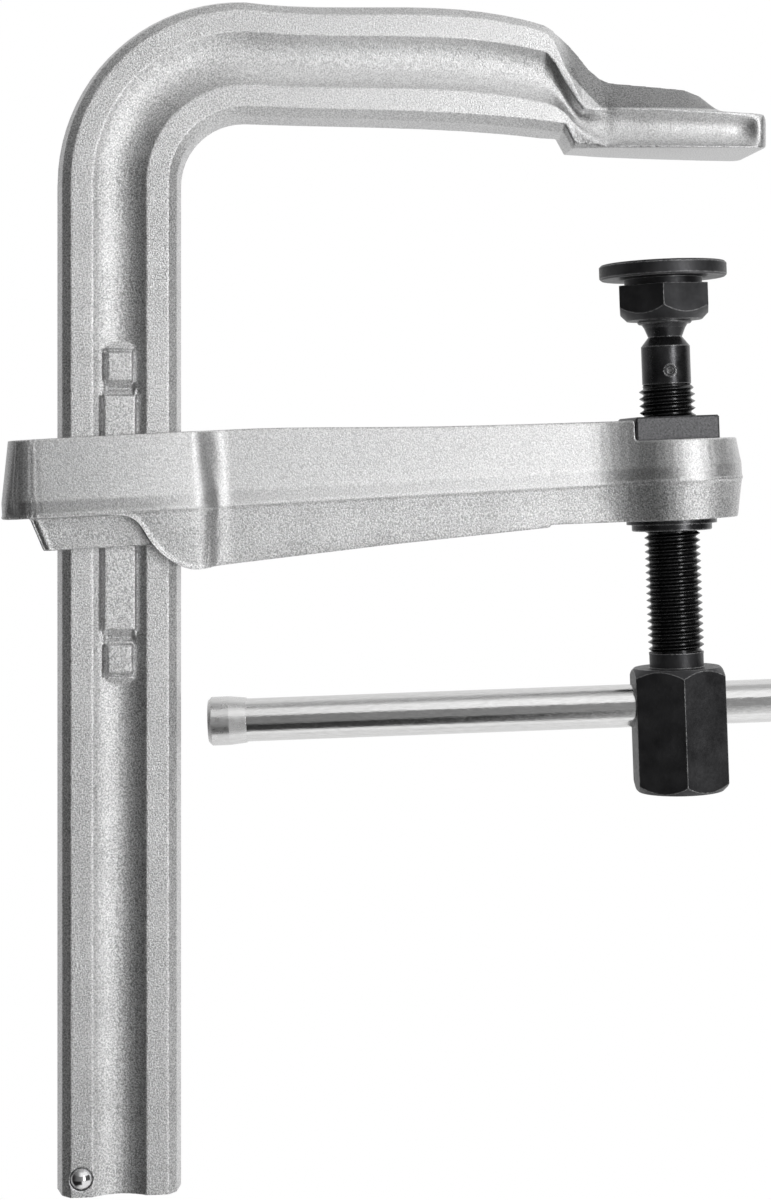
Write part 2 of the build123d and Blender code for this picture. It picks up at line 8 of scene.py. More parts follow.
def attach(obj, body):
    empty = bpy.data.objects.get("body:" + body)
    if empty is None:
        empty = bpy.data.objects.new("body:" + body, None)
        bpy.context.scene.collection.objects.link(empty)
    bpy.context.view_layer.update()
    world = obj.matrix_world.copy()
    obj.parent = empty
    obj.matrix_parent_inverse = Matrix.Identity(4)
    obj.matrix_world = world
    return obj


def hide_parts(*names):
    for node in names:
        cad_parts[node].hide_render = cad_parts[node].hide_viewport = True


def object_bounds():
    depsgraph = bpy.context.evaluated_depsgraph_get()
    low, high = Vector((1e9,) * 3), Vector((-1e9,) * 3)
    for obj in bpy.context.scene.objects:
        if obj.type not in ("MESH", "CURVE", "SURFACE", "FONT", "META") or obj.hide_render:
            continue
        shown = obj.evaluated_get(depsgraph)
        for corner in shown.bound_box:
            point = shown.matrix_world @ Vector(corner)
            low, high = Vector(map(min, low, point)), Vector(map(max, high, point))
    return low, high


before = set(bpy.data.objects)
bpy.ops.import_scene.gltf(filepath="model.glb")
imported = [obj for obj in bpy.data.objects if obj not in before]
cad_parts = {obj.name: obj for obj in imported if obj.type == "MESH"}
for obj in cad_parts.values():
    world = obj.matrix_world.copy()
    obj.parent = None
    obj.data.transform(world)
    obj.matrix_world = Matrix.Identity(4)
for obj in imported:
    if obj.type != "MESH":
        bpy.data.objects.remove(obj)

# The CAD model's box; its lowest point sets the floor's height
cad_low, cad_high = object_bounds()

MM = 0.001

# Camera: place, heading and lens that give the photograph's view, in its frame of 771 x 1200 pixels
IMAGE_HEIGHT = 1200
HORIZON_ROW = 472
FOCAL_PIXELS = 2250
SENSOR_WIDTH = 36
CAMERA_PLACE = (-193.3 * MM, -792 * MM, -114.6 * MM)
CAMERA_HEADING = 6.8

# The screw leans towards the rail, and heights on it are measured along its own axis
CANT = math.radians(2.1)
SCREW_AXIS = Vector((-math.sin(CANT), 0, math.cos(CANT)))
SCREW_FRAME = Matrix.Rotation(-CANT, 4, "Y")
HEAD_SHARP_ANGLE = math.radians(30)

# The thread: crest, root and flank are shares of the pitch, and the lead is the cone at each end
THREAD_RADIUS = 10 * MM
THREAD_PITCH = 2.5 * MM
THREAD_DEPTH = 1.45 * MM
THREAD_TOP = -83.5 * MM
THREAD_LENGTH = 95.9 * MM
THREAD_BOTTOM = THREAD_TOP - THREAD_LENGTH
THREAD_LEAD = 1.4 * MM
THREAD_CREST = 1 / 14
THREAD_ROOT = 1 / 5
THREAD_FLANK = (1 - THREAD_CREST - THREAD_ROOT) / 2
THREAD_STEPS = 72
THREAD_SHARP_ANGLE = math.radians(40)

# The rows of points in each pitch: at the crest's two ends, halfway down the flank, near the root's
# two ends, and about halfway up the other flank
THREAD_PHASES = [0, THREAD_CREST, 0.25, 0.4357, 0.6357, 0.82]

# The forgings are rebuilt from small cells and then smoothed in rounds
WELD_DISTANCE = 0.002 * MM
SLIVER_LENGTH = 0.001 * MM
FORGING_CELL = 0.4 * MM
RAIL_ROUNDS = 2
DISH_ROUNDS = 100
ARM_ROUNDS = 3
WORN_ARM_ROUNDS = 2

# The arm's own frame of reference: its forging leans a little more than the screw
ARM_LEAN = math.radians(3.1)
TO_ARM = Matrix.Rotation(ARM_LEAN, 4, "Y")
FROM_ARM = Matrix.Rotation(-ARM_LEAN, 4, "Y")
PARTING_HEIGHT = -117.7 * MM
PARTING_TOLERANCE = 0.03 * MM
PARTING_LEAST_ANGLE = math.radians(5)

# The sleeve with its window, and the wear of its dies: crowned sides, a leaning band, fuller corners
SLEEVE_LENGTH = 74 * MM
WINDOW_HALF = 10.85 * MM
SLEEVE_CROWN = 1.5 * MM
CROWN_START = WINDOW_HALF + 1 * MM
CROWN_FULL = WINDOW_HALF + 6 * MM
BAND_HEIGHT = 5 * MM
BAND_LEAN = 0.5 * MM
SLEEVE_BAND_LEAN = 1.0 * MM
WALL_START = 10 * MM
WALL_FULL = 12 * MM
CORNER_FILL = 0.55 * MM
CORNER_ANGLE = 62
CORNER_SPREAD = 28

# The gusset's lower edge: where it runs in the arm's frame, and how far the faces beside it look down,
# the underside at least and the wall at most
GUSSET_BACK_X = -216 * MM
GUSSET_FRONT_X = -150 * MM
GUSSET_SIDE = WINDOW_HALF + 1.5 * MM
GUSSET_TOP = PARTING_HEIGHT - 0.3 * MM
GUSSET_UNDERSIDE_SLOPE = -0.3
GUSSET_WALL_SLOPE = -0.25

# Beads that the dies leave along two edges of the arm: radius, and how deep the middle is sunk
PARTING_BEAD = (0.45 * MM, 0.05 * MM)
GUSSET_BEAD = (0.8 * MM, 0.6 * MM)

# The raised panel in the rail's front groove: a block at each end, and a bar between two notches
PANEL_X = -192.5 * MM
PANEL_MIDDLE = -128.7 * MM
PANEL_HALF_LENGTH = 59.4 * MM
PANEL_REACH = 8 * MM
PANEL_FRONT = -5 * MM
BLOCK_HALF_WIDTH = 4.4 * MM
BLOCK_START = 4.0 * MM
BLOCK_END = 13.8 * MM
BAR_START = 18.9 * MM
BAR_HALF_WIDTH = 5.5 * MM

# The recess round the panel: its depth, where its two slopes start and end, and the notches' share
PANEL_RECESS = 1.4 * MM
RECESS_INNER_SLOPE = (-0.2 * MM, 0.5 * MM)
RECESS_OUTER_SLOPE = (0.7 * MM, 1.6 * MM)
NOTCH_LEAST_SHARE = 0.6
NOTCH_DEEPENING = 2

# The hollow on each side of the fixed jaw: where each of its four rims starts and ends
DISH_BACK_RIM = (-32 * MM, -27 * MM)
DISH_TIP_RIM = (33 * MM, 34.5 * MM)
DISH_LOWER_RIM = (1.2 * MM, 2.2 * MM)
DISH_UPPER_RIM = (11.6 * MM, 12.6 * MM)

# The crease where the hollow begins, and the long curve that fills it
DISH_CREASE_X = -22 * MM
DISH_CURVE = 13 * MM
DISH_BEND = 0.15

# The brow line of the fixed jaw, above which shade is painted on its roof: level along the jaw, and
# rising towards the upper arm
BROW_HEIGHT = 13.7 * MM
BROW_FOOT_X = -23 * MM
BROW_RISE = 1.05
BROW_BLUR = 0.8 * MM
ROOF_START_X = -38 * MM
ROOF_FULL_X = -33 * MM

# Where the forgings turn from coarse to fine: the rail along X, the arm at its parting height
RAIL_FINE_FROM = -175 * MM
RAIL_FINE_TO = -130 * MM
ARM_FINE_FROM = PARTING_HEIGHT - 1 * MM
ARM_FINE_TO = PARTING_HEIGHT + 1 * MM

# The floor lies under the lowest place that the screw's head reaches, with the arm at the rail's end
FLOOR_HALF = 3.0
FLOOR_DROP = 95 * MM

# The one lamp: its place, the middle of the object that it faces, its width, height and power
LAMP_PLACE = (0.55, -1.32, -0.1)
LAMP_TARGET = (-0.09, 0, -0.15)
LAMP_WIDTH = 0.34
LAMP_HEIGHT = 1.2
LAMP_POWER = 7.5

# Studio brightness by direction, from -1 to 1: in front of the object at its level and low down by X,
# overhead and from the floor by Z, and behind the object by X
STUDIO_STRENGTH = 1.15
STUDIO_LEVEL = [
    (-1, 0.02), (-0.75, 0.12), (-0.1, 0.2), (0.1, 0.28), (0.32, 0.6), (0.48, 0.85), (0.6, 0.15), (1, 0.06)
]
STUDIO_LOW = [(-1, 0.01), (-0.02, 0.02), (0.06, 0.3), (0.17, 0.85), (1, 0.8)]
STUDIO_UPWARD = [
    (-1, 0.7), (-0.92, 0.9), (-0.78, 0.05), (0.36, 0.0), (0.48, 0.95), (0.86, 0.9), (0.97, 0.45)
]
STUDIO_UPWARD_SIDES = [(-1, 0.1), (-0.5, 0.25), (-0.05, 1), (1, 1)]
STUDIO_BEHIND = [(-1, 0.25), (-0.85, 0.4), (-0.6, 0.5), (-0.35, 0.6), (1, 0.9)]

# How much the brightness low down counts by Z, and the brightness behind by Y
LOW_SHARE = [(-0.4, 1), (-0.25, 0)]
BEHIND_SHARE = [(0.1, 0), (0.4, 1)]


# Shader building
class Shader:
    """A node material under construction: each call adds a node and returns its useful output."""

    def __init__(self, name):
        self.material = bpy.data.materials.new(name)
        self.material.use_nodes = True
        self.nodes = self.material.node_tree.nodes
        self.links = self.material.node_tree.links
        self.place = self.nodes.new("ShaderNodeTexCoord").outputs["Object"]

    def stretch(self, scale):
        mapping = self.nodes.new("ShaderNodeMapping")
        mapping.inputs["Scale"].default_value = scale
        self.links.new(self.place, mapping.inputs["Vector"])
        return mapping.outputs["Vector"]

    def noise(self, scale, detail=2.0, roughness=0.5, vector=None):
        node = self.nodes.new("ShaderNodeTexNoise")
        node.inputs["Scale"].default_value = scale
        node.inputs["Detail"].default_value = detail
        node.inputs["Roughness"].default_value = roughness
        self.links.new(vector or self.place, node.inputs["Vector"])
        return node.outputs["Fac"]

    def ramp(self, value, low, high, start=0.0, end=1.0):
        """Low where the value is at start, high where it is at end, and an even rise between them."""
        node = self.nodes.new("ShaderNodeMapRange")
        node.inputs["From Min"].default_value = start
        node.inputs["From Max"].default_value = end
        node.inputs["To Min"].default_value = low
        node.inputs["To Max"].default_value = high
        self.links.new(value, node.inputs["Value"])
        return node.outputs["Result"]

    def colour(self, value, dark, light):
        node = self.nodes.new("ShaderNodeMix")
        node.data_type = "RGBA"
        node.inputs[6].default_value = (*dark, 1)
        node.inputs[7].default_value = (*light, 1)
        self.links.new(value, node.inputs[0])
        return node.outputs[2]

    def blend(self, value, first, second):
        node = self.nodes.new("ShaderNodeMix")
        node.data_type = "RGBA"
        self.links.new(value, node.inputs[0])
        self.links.new(first, node.inputs[6])
        self.links.new(second, node.inputs[7])
        return node.outputs[2]

    def combine(self, operation, first, second):
        node = self.nodes.new("ShaderNodeMath")
        node.operation = operation
        for socket, value in zip(node.inputs, (first, second)):
            if isinstance(value, (int, float)):
                socket.default_value = value
            else:
                self.links.new(value, socket)
        return node.outputs[0]

    def bump(self, height, distance, strength=1.0, normal=None):
        node = self.nodes.new("ShaderNodeBump")
        node.inputs["Distance"].default_value = distance
        node.inputs["Strength"].default_value = strength
        self.links.new(height, node.inputs["Height"])
        if normal:
            self.links.new(normal, node.inputs["Normal"])
        return node.outputs["Normal"]

    def soft_edge(self, radius):
        node = self.nodes.new("ShaderNodeBevel")
        node.samples = 4
        node.inputs["Radius"].default_value = radius
        return node.outputs["Normal"]

    def along(self, direction):
        """How far a point of the piece lies along a direction."""
        distance = self.nodes.new("ShaderNodeVectorMath")
        distance.operation = "DOT_PRODUCT"
        distance.inputs[1].default_value = direction
        self.links.new(self.place, distance.inputs[0])
        return distance.outputs["Value"]

    def edge_wear_and_highlight(self, radius, start, end):
        """1 along the edges of the shape and 0 on its faces."""
        geometry = self.nodes.new("ShaderNodeNewGeometry")
        agreement = self.nodes.new("ShaderNodeVectorMath")
        agreement.operation = "DOT_PRODUCT"
        self.links.new(self.soft_edge(radius), agreement.inputs[0])
        self.links.new(geometry.outputs["Normal"], agreement.inputs[1])
        return self.ramp(agreement.outputs["Value"], 0.0, 1.0, start, end)

    def finish(self, metallic, colour, roughness, normal):
        surface = self.nodes["Principled BSDF"]
        surface.inputs["Metallic"].default_value = metallic
        self.links.new(colour, surface.inputs["Base Color"])
        self.links.new(roughness, surface.inputs["Roughness"])
        self.links.new(normal, surface.inputs["Normal"])
        return self.material


# Materials
def jaw_roof_shade_mask(shader):
    """1 on the roof of the fixed jaw above its brow line, where shade is painted, and 0 elsewhere."""
    height = shader.along((0, 0, 1))
    reach = shader.along((1, 0, 0))
    behind_foot = shader.combine("MAXIMUM", shader.combine("SUBTRACT", BROW_FOOT_X, reach), 0)
    rise = shader.combine("MULTIPLY", behind_foot, BROW_RISE)
    above = shader.combine("SUBTRACT", shader.combine("SUBTRACT", height, BROW_HEIGHT), rise)
    over_brow = shader.ramp(above, 0.0, 1.0, 0.0, BROW_BLUR)
    return shader.combine("MULTIPLY", over_brow, shader.ramp(reach, 0.0, 1.0, ROOF_START_X, ROOF_FULL_X))


def forged_zinc(name, dark, light, direction, fine_from, fine_to, paints_roof_shade=False):
    """Blasted and zinc-plated forging: pale satin metal with a sparkling sandy grain.

    The die has left the steel smoother towards the given direction. The jaw's roof is painted darker, as
    shade.
    """
    shader = Shader(name)
    grain = shader.noise(1800, detail=3.0, roughness=0.75)
    patches = shader.noise(60, detail=3.0)
    speck = shader.ramp(grain, 0.0, 1.0, 0.40, 0.60)
    paler = 0.08
    coarse = shader.blend(
        shader.ramp(patches, 0.0, 1.0, 0.35, 0.65),
        shader.colour(speck, (dark, dark, dark * 1.01), (light, light, light)),
        shader.colour(speck, (dark + paler, dark + paler, dark * 1.01 + paler), (0.97, 0.97, 0.97)),
    )
    wide = shader.bump(shader.noise(90), 0.25 * MM, strength=0.3)
    smooth = shader.ramp(shader.along(direction), 0.0, 1.0, fine_from, fine_to)
    fine = shader.colour(speck, (0.5, 0.5, 0.503), (0.84, 0.84, 0.84))
    colour = shader.blend(smooth, coarse, fine)
    relief = shader.combine("MULTIPLY", grain, shader.ramp(smooth, 1.0, 0.7))
    if paints_roof_shade:
        # Painted shade: the jaw's roof above the brow line is coloured darker, as though it lay in shade.
        painted_roof_shade = shader.colour(speck, (0.14, 0.14, 0.142), (0.42, 0.42, 0.42))
        colour = shader.blend(jaw_roof_shade_mask(shader), colour, painted_roof_shade)
    roughness = shader.ramp(grain, 0.31, 0.45, 0.3, 0.7)
    normal = shader.bump(relief, 0.24 * MM, strength=0.8, normal=wide)
    return shader.finish(1.0, colour, roughness, normal)


def black_oxide(name="black_oxide", dark=0.04, light=0.085, rough=0.42, grain_height=0.05, wear=0.9):
    """Blackened steel: deep grey-black, semi-gloss, coloured lighter along its edges, both as wear and as
    painted edge highlights.
    """
    shader = Shader(name)
    grain = shader.noise(900, detail=4.0, roughness=0.6)
    patches = shader.ramp(shader.noise(120, detail=3.0), 0.0, 1.0, 0.3, 0.7)
    base = shader.colour(patches, (dark, dark, dark * 1.05), (light, light, light * 1.04))
    # Painted highlight and real wear: the edges are coloured as lighter steel, both for rubbed edges and
    # for the bright lines of light along them.
    edge = shader.edge_wear_and_highlight(0.6 * MM, 0.985, 0.93)
    worn_and_highlit_edges = shader.combine("MULTIPLY", edge, shader.ramp(grain, 0.3 * wear, wear, 0.35, 0.6))
    steel = shader.colour(grain, (0.35, 0.35, 0.355), (0.7, 0.7, 0.705))
    colour = shader.blend(worn_and_highlit_edges, base, steel)
    roughness = shader.ramp(grain, rough - 0.06, rough + 0.10, 0.3, 0.7)
    normal = shader.bump(grain, grain_height * MM, strength=0.7, normal=shader.soft_edge(0.3 * MM))
    return shader.finish(0.85, colour, roughness, normal)


def dark_plate():
    """Phosphated plate of the nut: dark grey, dull and grainy."""
    shader = Shader("dark_plate")
    grain = shader.noise(1300, detail=4.0, roughness=0.7)
    spots = shader.ramp(grain, 0.0, 1.0, 0.3, 0.7)
    colour = shader.colour(spots, (0.05, 0.05, 0.052), (0.17, 0.17, 0.175))
    normal = shader.bump(grain, 0.1 * MM, strength=0.8, normal=shader.soft_edge(0.4 * MM))
    return shader.finish(0.9, colour, shader.ramp(grain, 0.38, 0.55), normal)


def bright_bar(name="bright_bar", rough=0.08):
    """Drawn and bright-plated bar: mirror-like, with faint lines along it."""
    shader = Shader(name)
    lines = shader.noise(1.0, roughness=0.6, vector=shader.stretch((220, 1600, 1600)))
    spots = shader.noise(350, detail=3.0, roughness=0.6)
    colour = shader.colour(lines, (0.66, 0.655, 0.65), (0.92, 0.92, 0.92))
    roughness = shader.ramp(spots, rough, rough + 0.09, 0.3, 0.7)
    normal = shader.bump(lines, 0.05 * MM, strength=0.7, normal=shader.soft_edge(0.25 * MM))
    return shader.finish(1.0, colour, roughness, normal)


def polished_ball():
    """Hardened and polished ball: almost a mirror."""
    shader = Shader("polished_ball")
    spots = shader.noise(600, detail=3.0)
    colour = shader.colour(spots, (0.72, 0.72, 0.73), (0.82, 0.82, 0.82))
    return shader.finish(1.0, colour, shader.ramp(spots, 0.05, 0.10), shader.bump(spots, 0.004 * MM))


def sintered():
    """Sintered bearing shell: brownish grey, with fine pores."""
    shader = Shader("sintered")
    pores = shader.noise(2200, detail=3.0, roughness=0.7)
    colour = shader.colour(pores, (0.13, 0.12, 0.11), (0.33, 0.31, 0.29))
    return shader.finish(0.8, colour, shader.ramp(pores, 0.4, 0.6), shader.bump(pores, 0.05 * MM))


# Mesh building
def add_object(name, data):
    piece = bpy.data.objects.new(name, data)
    bpy.context.scene.collection.objects.link(piece)
    return piece


def finished_mesh(piece):
    """A new mesh of the piece, with its modifiers or its curve's settings applied."""
    depsgraph = bpy.context.evaluated_depsgraph_get()
    return bpy.data.meshes.new_from_object(piece.evaluated_get(depsgraph))


def apply_modifiers(piece):
    mesh = finished_mesh(piece)
    piece.modifiers.clear()
    piece.data = mesh


def shade_smooth(mesh):
    for face in mesh.polygons:
        face.use_smooth = True


def copy_of_node(node, name):
    """A new piece with the CAD node's own mesh, welded and ready to be reworked."""
    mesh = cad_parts[node].data.copy()
    mesh.materials.clear()
    for layer in [layer for layer in mesh.attributes if layer.name == "custom_normal"]:
        mesh.attributes.remove(layer)
    work = bmesh.new()
    work.from_mesh(mesh)
    bmesh.ops.remove_doubles(work, verts=work.verts, dist=WELD_DISTANCE)
    work.to_mesh(mesh)
    work.free()
    return add_object(name, mesh)


def add_beads(piece, wanted, radius, sink):
    """Adds a thin round bead along the edges that are wanted, its middle sunk below them."""
    curve = bpy.data.curves.new("bead", "CURVE")
    curve.dimensions = "3D"
    curve.bevel_depth = radius
    curve.bevel_resolution = 2
    curve.use_fill_caps = True
    work = bmesh.new()
    work.from_mesh(piece.data)
    for edge in work.edges:
        if len(edge.link_faces) != 2 or not wanted(edge):
            continue
        outward = (edge.link_faces[0].normal + edge.link_faces[1].normal).normalized()
        spline = curve.splines.new("POLY")
        spline.points.add(1)
        for point, vertex in zip(spline.points, edge.verts):
            point.co = (*(vertex.co - outward * sink), 1)
    bead = add_object("bead", curve)
    mesh = finished_mesh(bead)
    work.from_mesh(mesh)
    work.to_mesh(piece.data)
    work.free()
    bpy.data.objects.remove(bead)
    bpy.data.meshes.remove(mesh)


def on_parting_line(edge):
    """The outer edge between the arm's two dies."""
    places = [TO_ARM @ vertex.co for vertex in edge.verts]
    level = all(abs(place.z - PARTING_HEIGHT) < PARTING_TOLERANCE for place in places)
    return level and edge.calc_face_angle(0) > PARTING_LEAST_ANGLE


def on_gusset_edge(edge):
    """The rounded lower edge that runs down from the sleeve along the gusset."""
    places = [TO_ARM @ vertex.co for vertex in edge.verts]
    slopes = sorted((TO_ARM.to_3x3() @ face.normal).z for face in edge.link_faces)
    outside = all(abs(place.y) > GUSSET_SIDE for place in places)
    below = all(place.z < GUSSET_TOP for place in places)
    beside = all(GUSSET_BACK_X < place.x < GUSSET_FRONT_X for place in places)
    turned = slopes[0] < GUSSET_UNDERSIDE_SLOPE and GUSSET_WALL_SLOPE < slopes[1] < 0
    return outside and below and beside and turned


def soften(piece, rounds, part=None):
    """Smooths a whole piece, or only the vertices for which part(place) is above 0."""
    smooth = piece.modifiers.new("smooth", "SMOOTH")
    smooth.factor = 0.5
    smooth.iterations = rounds
    if part:
        group = piece.vertex_groups.new(name="part")
        for vertex in piece.data.vertices:
            weight = part(vertex.co)
            if weight > 0:
                group.add([vertex.index], weight, "REPLACE")
        smooth.vertex_group = group.name
    apply_modifiers(piece)
    piece.vertex_groups.clear()


def forged(node, name, rounds, beads=()):
    """The CAD form as it leaves the die: every edge is softened."""
    piece = copy_of_node(node, name)
    for wanted, radius, sink in beads:
        add_beads(piece, wanted, radius, sink)
    remesh = piece.modifiers.new("remesh", "REMESH")
    remesh.mode = "VOXEL"
    remesh.voxel_size = FORGING_CELL
    apply_modifiers(piece)
    soften(piece, rounds)
    shade_smooth(piece.data)
    return piece


def ease(value, start, end):
    """0 before start, 1 after end, and a smooth rise between them."""
    share = min(max((value - start) / (end - start), 0), 1)
    return share * share * (3 - 2 * share)


def in_dish(place):
    """1 in the hollow on each side of the fixed jaw and 0 at its rims."""
    if place.x < DISH_BACK_RIM[0]:
        return 0
    inside = ease(place.x, *DISH_BACK_RIM) * (1 - ease(place.x, *DISH_TIP_RIM))
    return inside * ease(place.z, *DISH_LOWER_RIM) * (1 - ease(place.z, *DISH_UPPER_RIM))


def fill_dish(piece):
    """Fills the crease at the foot of the jaw's hollow, so that the hollow begins softly."""
    for vertex in piece.data.vertices:
        room = DISH_CURVE - abs(vertex.co.x - DISH_CREASE_X)
        if room > 0:
            fill = in_dish(vertex.co) * DISH_BEND * room * room / (4 * DISH_CURVE)
            vertex.co.y += math.copysign(fill, vertex.co.y)


def press_panel(piece):
    """Presses the narrow recess round the panel's blocks and bar, and deepens its notches."""
    for vertex in piece.data.vertices:
        if vertex.co.y > PANEL_FRONT:
            continue
        across = abs(vertex.co.x - PANEL_X)
        along = PANEL_HALF_LENGTH - abs(vertex.co.z - PANEL_MIDDLE)
        if across > PANEL_REACH or along < 0:
            continue
        outside_block = max(across - BLOCK_HALF_WIDTH, BLOCK_START - along, along - BLOCK_END)
        outside_bar = max(across - BAR_HALF_WIDTH, BAR_START - along)
        gap = min(outside_block, outside_bar)
        press = ease(gap, *RECESS_INNER_SLOPE) * (1 - ease(gap, *RECESS_OUTER_SLOPE))
        if BLOCK_END < along < BAR_START:
            deeper = NOTCH_LEAST_SHARE + gap / (BAR_START - BLOCK_END) * NOTCH_DEEPENING
            press = max(press, deeper) * (1 - ease(across, BLOCK_HALF_WIDTH, BAR_HALF_WIDTH))
        vertex.co.y += PANEL_RECESS * press


def side_wear(place, normal, back):
    """How far the sleeve's crown and the band's lean bring in a place on the arm's side."""
    half = SLEEVE_LENGTH / 2
    along = (place.x - back - half) / half
    outer = ease(abs(place.y), CROWN_START, CROWN_FULL)
    on_sleeve = 1 - ease(place.x, back + 2 * half, back + 2.5 * half)
    crown = SLEEVE_CROWN * outer * along * along * on_sleeve
    wall = ease(abs(normal.y), 0.3, 0.8) * ease(abs(place.y), WALL_START, WALL_FULL)
    below = min(max((PARTING_HEIGHT + BAND_HEIGHT - place.z) / BAND_HEIGHT, 0), 1)
    far_end = 1 - ease(place.x, back + half, back + 1.7 * half)
    return crown + (BAND_LEAN + SLEEVE_BAND_LEAN * far_end) * wall * below


def corner_fill(place, normal, back):
    """How far, and which way, the end corners of the sleeve stand out more than in the CAD form."""
    off_corner = math.degrees(math.atan2(abs(normal.y), -normal.x)) - CORNER_ANGLE
    if place.x >= back + SLEEVE_LENGTH / 2 or abs(off_corner) >= CORNER_SPREAD:
        return Vector((0, 0, 0))
    fill = CORNER_FILL * (1 + math.cos(math.pi * off_corner / CORNER_SPREAD)) / 2
    fill *= 1 - ease(abs(normal.z), 0.75, 0.97)
    return Vector((normal.x, normal.y, 0)).normalized() * fill


def wear_arm(piece):
    """Die wear on the arm: crowned sleeve sides, fuller end corners and a leaning band."""
    turn = TO_ARM.to_3x3()
    places = [TO_ARM @ vertex.co for vertex in piece.data.vertices]
    normals = [turn @ vertex.normal for vertex in piece.data.vertices]
    back = min(place.x for place in places)
    for vertex, place, normal in zip(piece.data.vertices, places, normals):
        place.y -= math.copysign(1, place.y) * side_wear(place, normal, back)
        place += corner_fill(place, normal, back)
        vertex.co = FROM_ARM @ place


def thread_radius(phase):
    """ISO thread form over one pitch, phase from 0 to 1: crest, flank, root, flank."""
    root_start = THREAD_CREST + THREAD_FLANK
    root_end = root_start + THREAD_ROOT
    if phase < THREAD_CREST:
        depth = 0
    elif phase < root_start:
        depth = (phase - THREAD_CREST) / THREAD_FLANK
    elif phase < root_end:
        depth = 1
    else:
        depth = 1 - (phase - root_end) / THREAD_FLANK
    return THREAD_RADIUS - THREAD_DEPTH * depth


def thread_ring(turn, phase):
    """The points of one turn of the helix, as places round the screw's upright axis."""
    for step in range(THREAD_STEPS + 1):
        angle = 2 * math.pi * step / THREAD_STEPS
        height = THREAD_BOTTOM + (turn + phase + step / THREAD_STEPS) * THREAD_PITCH
        height = min(max(height, THREAD_BOTTOM), THREAD_TOP)
        room = min(height - THREAD_BOTTOM, THREAD_TOP - height)
        radius = min(thread_radius(phase), THREAD_RADIUS - THREAD_LEAD + max(room, 0))
        yield radius * math.cos(angle), radius * math.sin(angle), height


def thread_mesh(name):
    """The screw's helical right-hand thread, with a cone at each end."""
    turns = int(THREAD_LENGTH / THREAD_PITCH) + 3
    work = bmesh.new()
    grid = []
    for turn in range(-1, turns - 1):
        for phase in THREAD_PHASES:
            grid.append([work.verts.new(place) for place in thread_ring(turn, phase)])
    for low, high in zip(grid, grid[1:]):
        for step in range(THREAD_STEPS):
            work.faces.new((low[step], low[step + 1], high[step + 1], high[step]))
    bmesh.ops.remove_doubles(work, verts=work.verts, dist=WELD_DISTANCE)
    bmesh.ops.dissolve_degenerate(work, edges=work.edges, dist=SLIVER_LENGTH)
    bmesh.ops.holes_fill(work, edges=[edge for edge in work.edges if edge.is_boundary])
    bmesh.ops.recalc_face_normals(work, faces=work.faces)
    mesh = bpy.data.meshes.new(name)
    work.to_mesh(mesh)
    work.free()
    mesh.transform(SCREW_FRAME)
    shade_smooth(mesh)
    mesh.set_sharp_from_angle(angle=THREAD_SHARP_ANGLE)
    return mesh


def cut_below(piece, height):
    """Keeps what lies below a height on the screw's own axis, and closes the cut."""
    work = bmesh.new()
    work.from_mesh(piece.data)
    cut = bmesh.ops.bisect_plane(
        work,
        geom=work.verts[:] + work.edges[:] + work.faces[:],
        plane_co=SCREW_AXIS * height,
        plane_no=SCREW_AXIS,
        clear_outer=True,
    )
    edges = [element for element in cut["geom_cut"] if isinstance(element, bmesh.types.BMEdge)]
    bmesh.ops.holes_fill(work, edges=edges)
    bmesh.ops.recalc_face_normals(work, faces=work.faces)
    work.to_mesh(piece.data)
    work.free()


# The stage: camera, floor, world and lamp
def make_camera():
    data = bpy.data.cameras.new("camera")
    data.sensor_width = SENSOR_WIDTH
    data.lens = FOCAL_PIXELS * SENSOR_WIDTH / IMAGE_HEIGHT
    data.shift_y = -(IMAGE_HEIGHT / 2 - HORIZON_ROW) / IMAGE_HEIGHT
    data.clip_start = 0.01
    data.clip_end = 50
    camera = add_object("camera", data)
    camera.location = CAMERA_PLACE
    camera.rotation_euler = (math.radians(90), 0, math.radians(-CAMERA_HEADING))
    bpy.context.scene.camera = camera


def make_floor():
    """A pale floor that shows white to the camera and is clear to reflected rays."""
    mesh = bpy.data.meshes.new("floor")
    height = cad_low.z - FLOOR_DROP
    corners = [(-1, -1), (1, -1), (1, 1), (-1, 1)]
    mesh.from_pydata([(x * FLOOR_HALF, y * FLOOR_HALF, height) for x, y in corners], [], [(0, 1, 2, 3)])
    floor = add_object("floor", mesh)
    material = bpy.data.materials.new("pale_floor")
    material.use_nodes = True
    nodes, links = material.node_tree.nodes, material.node_tree.links
    surface = nodes["Principled BSDF"]
    surface.inputs["Base Color"].default_value = (0.62, 0.62, 0.62, 1)
    surface.inputs["Roughness"].default_value = 0.9
    white = nodes.new("ShaderNodeEmission")
    clear = nodes.new("ShaderNodeBsdfTransparent")
    path = nodes.new("ShaderNodeLightPath")
    for ray, look in (("Is Glossy Ray", clear), ("Is Camera Ray", white)):
        by_ray = nodes.new("ShaderNodeMixShader")
        links.new(path.outputs[ray], by_ray.inputs[0])
        links.new(surface.outputs[0], by_ray.inputs[1])
        links.new(look.outputs[0], by_ray.inputs[2])
        surface = by_ray
    links.new(surface.outputs[0], nodes["Material Output"].inputs["Surface"])
    mesh.materials.append(material)


